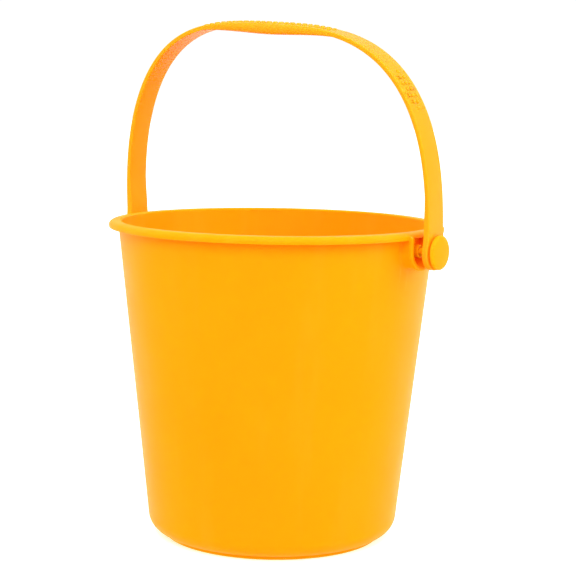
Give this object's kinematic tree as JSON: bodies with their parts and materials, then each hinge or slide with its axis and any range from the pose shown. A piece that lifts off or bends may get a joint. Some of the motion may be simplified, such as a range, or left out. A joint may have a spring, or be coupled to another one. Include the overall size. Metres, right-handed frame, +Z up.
{
  "type": "sand bucket",
  "caption": "Round tapered plastic bucket with a rolled rim and a flat strap bow handle that swings on push-in pivot buttons.",
  "frame": {"origin": "on the bucket's axis, in the plane that its foot ring stands on", "axes": "+Z up along the bucket's axis; X along the handle's pivot axis; the handle at rest leans 3 degrees towards -Y"},
  "size_m": [0.2054, 0.18, 0.2766],
  "materials": {
    "bucket_plastic": "semi-gloss moulded polypropylene, warm yellow-orange",
    "handle_plastic": "semi-gloss moulded polypropylene, warm yellow-orange",
    "button_plastic": "semi-gloss moulded polypropylene, warm yellow-orange"
  },
  "bodies": {
    "bucket": {"bucket_body": "bucket_plastic", "pivot_button_right": "button_plastic", "pivot_button_left": "button_plastic"},
    "handle": {"handle": "handle_plastic"}
  },
  "joints": [
    {"name": "handle_swing", "type": "hinge", "parent": "bucket", "child": "handle", "pos_m": [0, 0, 0.1609], "axis": [1, 0, 0], "range_deg": [-135, 129]}
  ]
}
